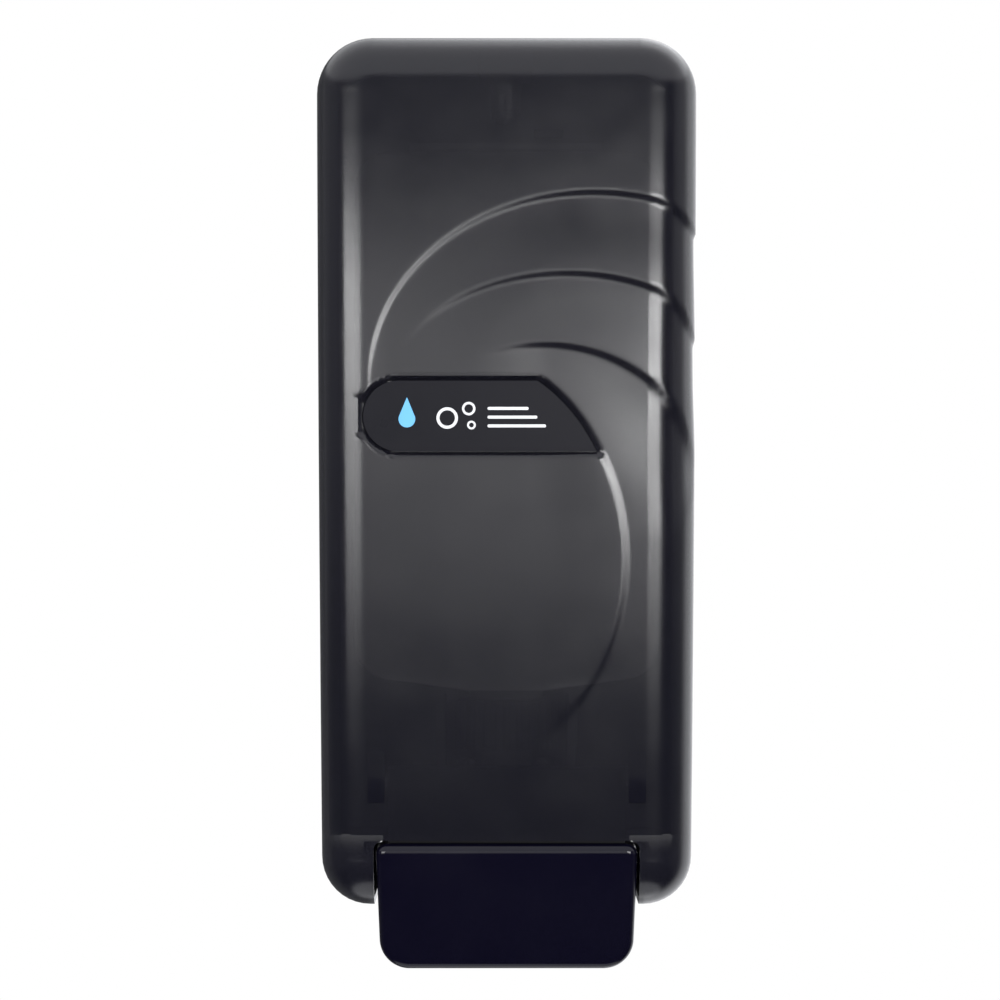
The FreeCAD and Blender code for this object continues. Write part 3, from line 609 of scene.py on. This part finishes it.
def skin_mesh():
    """Vertices and quads of the cover's outer face."""
    points, flat = front_points()
    quads = front_quads()
    rim = ring = rim_walk()
    for k in range(1, roll_steps + side_steps + 1):
        fresh = range(len(points), len(points) + len(rim))
        points += [ring_point(*flat[index], k) for index in rim]
        for a in range(len(rim)):
            if a not in notch_columns:
                b = (a + 1) % len(rim)
                quads.append((ring[b], ring[a], fresh[a], fresh[b]))
        ring = fresh
    return points, quads


print("rings", roll_steps + side_steps)

# %% [markdown]
# ### From points to a piece
# Every new piece goes through one function. It drops points that no face uses, turns the faces
# outwards, bakes the modifiers into the mesh, and marks the edges that should stay crisp.

# %% Make a piece
def make_piece(name, points, faces, body, finish, prepare=None, crisp=35.0):
    """Points and faces become an object that rides on a body; prepare adds modifiers to it."""
    tool = bmesh.new()
    made = [tool.verts.new(p) for p in points]
    for face in faces:
        tool.faces.new([made[i] for i in face])
    bmesh.ops.delete(tool, geom=[v for v in tool.verts if not v.link_faces], context="VERTS")
    bmesh.ops.recalc_face_normals(tool, faces=tool.faces)
    mesh = bpy.data.meshes.new(name)
    tool.to_mesh(mesh)
    tool.free()
    piece = bpy.data.objects.new(name, mesh)
    bpy.context.scene.collection.objects.link(piece)
    if prepare:
        prepare(piece)
        bpy.context.view_layer.update()
        shaped = piece.evaluated_get(bpy.context.evaluated_depsgraph_get())
        baked = bpy.data.meshes.new_from_object(shaped)
        piece.modifiers.clear()
        piece.data = baked
    piece.data.materials.clear()
    piece.data.materials.append(finish.material)
    piece.data.shade_smooth()
    piece.data.set_sharp_from_angle(angle=math.radians(crisp))
    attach(piece, body)
    return piece


def thicken(piece):
    """A Solidify modifier that grows the wall inwards."""
    wall = piece.modifiers.new("wall", "SOLIDIFY")
    wall.thickness = skin_thickness
    wall.offset = -1.0
    wall.use_even_offset = True


cover_skin = make_piece("cover_skin", *skin_mesh(), "cover", smoke, thicken)
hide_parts("front_cover")
print("skin", len(cover_skin.data.polygons), "faces")

# %% [markdown]
# ### Ears and boss inside the cover
# The cover hinges at its lower rear corners and carries the push bar just behind its front. Each
# pin sits in an ear: a plate with an eye, drawn as the hull of a circle and the web's corners. A
# triangle fill between the outline and the eye makes the face, and extruding it makes the plate.

# %% Ears
def circle(centre, radius, count=40):
    return [(centre[0] + radius * math.cos(2 * math.pi * k / count),
             centre[1] + radius * math.sin(2 * math.pi * k / count)) for k in range(count)]


def hull(points):
    """Convex outline round a set of flat points."""
    ordered = sorted(set(points))

    def half(run):
        chain = []
        for p in run:
            while len(chain) > 1 and ((chain[-1][0] - chain[-2][0]) * (p[1] - chain[-2][1])
                                      - (chain[-1][1] - chain[-2][1]) * (p[0] - chain[-2][0])) <= 0:
                chain.pop()
            chain.append(p)
        return chain[:-1]

    return half(ordered) + half(ordered[::-1])


def cut_plate(outline, hole, place, start, end):
    """A plate with a hole, from start to end along the axis that place() leaves free."""
    tool = bmesh.new()
    edges = []
    for loop in (outline, hole):
        ring = [tool.verts.new(place(u, v, start)) for u, v in loop]
        edges += [tool.edges.new((ring[k], ring[(k + 1) % len(ring)])) for k in range(len(ring))]
    filled = bmesh.ops.triangle_fill(tool, edges=edges, use_beauty=True)
    faces = [g for g in filled["geom"] if isinstance(g, bmesh.types.BMFace)]
    grown = bmesh.ops.extrude_face_region(tool, geom=faces, use_keep_orig=True)
    moved = [g for g in grown["geom"] if isinstance(g, bmesh.types.BMVert)]
    step = Vector(place(0, 0, end)) - Vector(place(0, 0, start))
    bmesh.ops.translate(tool, verts=moved, vec=step)
    tool.verts.index_update()
    points = [tuple(v.co) for v in tool.verts]
    solid = [[v.index for v in f.verts] for f in tool.faces]
    tool.free()
    return points, solid


def along_x(u, v, w):
    return (w, u, v)


def along_z(u, v, w):
    return (u, v, w)


def soften(piece):
    """A small Bevel on every sharp edge."""
    edge = piece.modifiers.new("edge", "BEVEL")
    edge.width = 0.35 * mm
    edge.segments = 2
    edge.limit_method = "ANGLE"
    edge.angle_limit = math.radians(40)


print("ear tools ready")

# %% [markdown]
# The pins' places are read from the parts, so the eyes sit exactly round them. Each web reaches
# for the wall that carries its ear: the bottom for the hinge, the front for the bar.

# %% The four ears
hinge_low, hinge_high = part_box("cover_hinge_pins")
hinge_centre = ((hinge_low.y + hinge_high.y) / 2, (hinge_low.z + hinge_high.z) / 2)
hinge_bore = (hinge_high.z - hinge_low.z) / 2 + 0.08 * mm
hinge_eye = 5.5 * mm
hinge_sides = (40.1 * mm, 45.6 * mm)
hinge_web = [(-16 * mm, hinge_centre[1] + 4.9 * mm), (-30 * mm, cover_base + 1 * mm),
             (-10 * mm, cover_base + 1 * mm)]
bar_pin_low, bar_pin_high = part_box("push_bar_pins")
bar_pin_centre = ((bar_pin_low.y + bar_pin_high.y) / 2, (bar_pin_low.z + bar_pin_high.z) / 2)
bar_bore = (bar_pin_high.z - bar_pin_low.z) / 2
bar_eye = 5.2 * mm
bar_sides = (36.5 * mm, 41.5 * mm)
wall_inside = cover_front + 3.0 * mm
bar_web = [(wall_inside, bar_pin_centre[1] - 6.5 * mm), (wall_inside, bar_pin_centre[1] + 9.0 * mm)]


def make_ear(name, side, centre, eye, web, bore, sides):
    """A plate across X with an eye round its pin; side is -1 at the left and 1 at the right."""
    outline = hull(circle(centre, eye) + web)
    shape = cut_plate(outline, circle(centre, bore), along_x, side * sides[0], side * sides[1])
    ear = make_piece(name, *shape, "cover", inner_smoke, soften)


for side, word in ((-1, "left"), (1, "right")):
    make_ear("hinge_ear_" + word, side, hinge_centre, hinge_eye, hinge_web, hinge_bore, hinge_sides)
    make_ear("bar_ear_" + word, side, bar_pin_centre, bar_eye, bar_web, bar_bore, bar_sides)
print("hinge axis y, z", [round(v / mm, 2) for v in hinge_centre])

# %% [markdown]
# The lock's barrel turns in a round boss under the top of the cover. The boss is the same kind of
# plate, this time upright, and it reaches a little into the wall so that no gap shows.

# %% Lock boss
lock_y = -24.0 * mm
boss_radius, boss_bore, boss_sides = 8.5 * mm, 5.6 * mm, 56
boss_length, boss_overlap = 8.0 * mm, 0.2 * mm
barrel_low, barrel_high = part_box("lock_barrel")
lock_centre = ((barrel_low.x + barrel_high.x) / 2, lock_y)
shape = cut_plate(circle(lock_centre, boss_radius, boss_sides), circle(lock_centre, boss_bore, boss_sides),
                  along_z, cover_top - boss_length, cover_top - skin_thickness + boss_overlap)
boss = make_piece("lock_boss", *shape, "cover", inner_smoke, soften)
print("lock boss at", [round(v / mm, 1) for v in lock_centre])

# %% [markdown]
# ### The return spring
# Between the pump barrel and the button a coil spring pushes the bar back. The mechanical model
# draws it in short straight runs. Here a round wire follows a true helix, ring by ring. The spring
# stands on the barrel. The real one closes up as the piston goes in; this one keeps even turns.

# %% Spring
spring_low, spring_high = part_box("return_spring")
wire = 0.45 * mm
spring_turns = 4
rings_per_turn = 36
wire_sides = 10
coil_radius = (spring_high.z - spring_low.z) / 2 - wire
spring_axis_z = (spring_high.z + spring_low.z) / 2


def spring_mesh():
    """A wire of round section swept along a helix, with flat caps."""
    count = spring_turns * rings_per_turn
    start, end = spring_low.y + wire, spring_high.y - wire
    points, faces = [], []
    for k in range(count + 1):
        turn = 2 * math.pi * k / rings_per_turn
        out = Vector((math.cos(turn), 0.0, math.sin(turn)))
        centre = out * coil_radius + Vector((0.0, start + (end - start) * k / count, spring_axis_z))
        pitch = (end - start) / (spring_turns * 2 * math.pi * coil_radius)
        along = Vector((-math.sin(turn), pitch, math.cos(turn))).normalized()
        side = along.cross(out)
        for m in range(wire_sides):
            a = 2 * math.pi * m / wire_sides
            points.append(tuple(centre + (out * math.cos(a) + side * math.sin(a)) * wire))
        if k:
            b = (k - 1) * wire_sides
            for m in range(wire_sides):
                n = (m + 1) % wire_sides
                faces.append((b + m, b + n, b + wire_sides + n, b + wire_sides + m))
    faces.append(tuple(range(wire_sides)))
    faces.append(tuple(range(count * wire_sides, (count + 1) * wire_sides)))
    return points, faces


spring = make_piece("coil_spring", *spring_mesh(), "base", steel, crisp=60.0)
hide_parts("return_spring")
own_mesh(spring)

# %% [markdown]
# ## The floor
# The room is a pale floor under a white sky. The floor lies well below the dispenser, which hangs
# on a wall. Mirror rays don't see it, or it would lift the black of the glossy plastic.

# %% Floor
floor_drop = 0.35
floor_half = 2.4


def floor_plane(height, half):
    """A square floor that isn't part of the object."""
    mesh = bpy.data.meshes.new("floor")
    corners = [(-half, -half, height), (half, -half, height), (half, half, height), (-half, half, height)]
    mesh.from_pydata(corners, [], [(0, 1, 2, 3)])
    floor = bpy.data.objects.new("floor", mesh)
    bpy.context.scene.collection.objects.link(floor)
    pale = Finish("floor_pale", (0.93, 0.93, 0.93), 0.7)
    floor.data.materials.append(pale.material)
    floor.visible_glossy = False


floor_plane(bar_low.z - floor_drop, floor_half)
print("floor at", round(bar_low.z - floor_drop, 3))

# %% [markdown]
# ## The sky
# What gloss plastic mirrors matters more than what falls on it, so the sky is bright only where
# the cover should show a light edge: overhead for the pale band along the top, straight below for
# the lower corners, behind on the right for the thin bright line there, and weakly at both sides.
# Everywhere else it is black, and the front stays dark. The camera itself sees plain white.

# %% Sky
class Sky:
    """A world whose glow is added up from smooth ramps over the direction X, Y, Z."""

    def __init__(self, name):
        self.world = bpy.data.worlds.new(name)
        self.world.use_nodes = True
        self.tree = self.world.node_tree
        self.tree.nodes.clear()
        place = self.node("ShaderNodeTexCoord").outputs["Generated"]
        split = self.node("ShaderNodeSeparateXYZ")
        self.tree.links.new(place, split.inputs[0])
        self.x, self.y, self.z = (split.outputs[axis] for axis in "XYZ")

    def node(self, kind, **settings):
        made = self.tree.nodes.new(kind)
        for key, value in settings.items():
            setattr(made, key, value)
        return made

    def ramp(self, source, start, end, low, high):
        made = self.node("ShaderNodeMapRange", clamp=True, interpolation_type="SMOOTHSTEP")
        for key, value in (("From Min", start), ("From Max", end), ("To Min", low), ("To Max", high)):
            made.inputs[key].default_value = value
        self.tree.links.new(source, made.inputs["Value"])
        return made.outputs["Result"]

    def both(self, operation, a, b):
        made = self.node("ShaderNodeMath", operation=operation)
        self.tree.links.new(a, made.inputs[0])
        self.tree.links.new(b, made.inputs[1])
        return made.outputs[0]

    def background(self, colour):
        made = self.node("ShaderNodeBackground")
        made.inputs["Color"].default_value = (*colour, 1.0)
        return made


sky = Sky("soft_room")
print("sky", sky.world.name)

# %% [markdown]
# Each ramp is a patch of the sky with soft borders. The patches are added up, and the kind of ray
# then decides between this shaped glow and the plain white that the camera sees.

# %% The sky's glow
ceiling = sky.ramp(sky.z, 0.34, 0.44, 0.0, 1.15)
ground = sky.ramp(sky.z, -0.92, -0.84, 1.1, 0.0)
behind = sky.ramp(sky.y, 0.05, 0.5, 0.0, 1.5)
behind = sky.both("MULTIPLY", behind, sky.ramp(sky.x, -0.05, 0.1, 0.1, 1.0))
right = sky.ramp(sky.x, 0.80, 0.97, 0.0, 0.55)
left = sky.ramp(sky.x, -0.97, -0.80, 0.35, 0.0)
low_dim = sky.ramp(sky.z, -0.10, 0.08, 0.2, 1.0)
sides = sky.both("MULTIPLY", sky.both("ADD", right, left), low_dim)
glow = sky.both("ADD", sky.both("ADD", ceiling, behind), sky.both("ADD", ground, sides))
mirrored = sky.background((0.96, 0.97, 1.0))
sky.tree.links.new(glow, mirrored.inputs["Strength"])
seen = sky.background((1.0, 1.0, 1.0))
choice = sky.node("ShaderNodeMixShader")
sky.tree.links.new(sky.node("ShaderNodeLightPath").outputs["Is Camera Ray"], choice.inputs[0])
sky.tree.links.new(mirrored.outputs[0], choice.inputs[1])
sky.tree.links.new(seen.outputs[0], choice.inputs[2])
sky.tree.links.new(choice.outputs[0], sky.node("ShaderNodeOutputWorld").inputs["Surface"])
bpy.context.scene.world = sky.world
print("sky nodes", len(sky.tree.nodes))

# %% [markdown]
# ## The lamps
# Three soft boxes one above the other hang a metre in front of the cover, unseen by the camera,
# and draw the slow fade down the front: brightest above, dim below. Each has a stronger box at
# its left and its right, which the rounded edges mirror as upright bright lines. A lamp is set by
# how bright it looks, not by its watts, so a wide one and a narrow one can be compared.

# %% Lamps
cover_middle = Vector((0.0, cover_front, (cover_base + cover_top) / 2))
box_reach = 1.0
front_width = 0.46
bands = (                         # name, lowest and highest edge, glow of the front and of the sides
    ("upper", 0.09, 0.225, 1.86, 9.0),
    ("middle", -0.05, 0.09, 1.12, 4.0),
    ("lower", -0.145, -0.05, 0.95, 1.6),
)
side_boxes = (("left", -34.0, 0.68, 1.35), ("right", 22.6, 0.50, 2.1))    # bearing, width, share


def soft_box(name, bearing, rise, width, height, glow):
    """Area lamp at a bearing from -Y (positive to +X) and a rise over the cover's middle, in degrees."""
    a, e = math.radians(bearing), math.radians(rise)
    way = Vector((math.sin(a) * math.cos(e), -math.cos(a) * math.cos(e), math.sin(e)))
    data = bpy.data.lights.new(name, "AREA")
    data.shape = "RECTANGLE"
    data.size, data.size_y = width, height
    data.energy = glow * math.pi * width * height
    lamp = bpy.data.objects.new(name, data)
    bpy.context.scene.collection.objects.link(lamp)
    lamp.location = cover_middle + way * box_reach
    lamp.rotation_mode = "QUATERNION"
    lamp.rotation_quaternion = way.to_track_quat("Z", "Y")
    lamp.visible_camera = False


for name, low, high, front_glow, side_glow in bands:
    height = high - low
    rise = math.degrees(math.atan2((low + high) / 2, box_reach))
    soft_box("front_" + name, 0.0, rise, front_width, height, front_glow)
    for side, bearing, wide, share in side_boxes:
        soft_box("side_" + name + "_" + side, bearing, rise, wide, height, side_glow * share)
print("lamps", len(bpy.data.lights))

# %% [markdown]
# ## The camera
# The dispenser is seen level and straight on. A long lens from over a metre away keeps its sides
# nearly parallel. Its distance follows from the width that should fill the frame.

# %% Camera
lens = 150.0
sensor = 36.0
view_width = 0.2974               # metres across the cover's front plane
aim = Vector((-2.0 * mm, cover_front, cover_base + 121.9 * mm))
camera_data = bpy.data.cameras.new("camera")
camera_data.lens = lens
camera_data.sensor_width = sensor
camera = bpy.data.objects.new("camera", camera_data)
bpy.context.scene.collection.objects.link(camera)
camera.location = aim - Vector((0.0, view_width * lens / sensor, 0.0))
camera.rotation_euler = (math.radians(90.0), 0.0, 0.0)
bpy.context.scene.camera = camera
bpy.context.scene.view_settings.view_transform = "Standard"
print("camera", [round(v, 3) for v in camera.location])
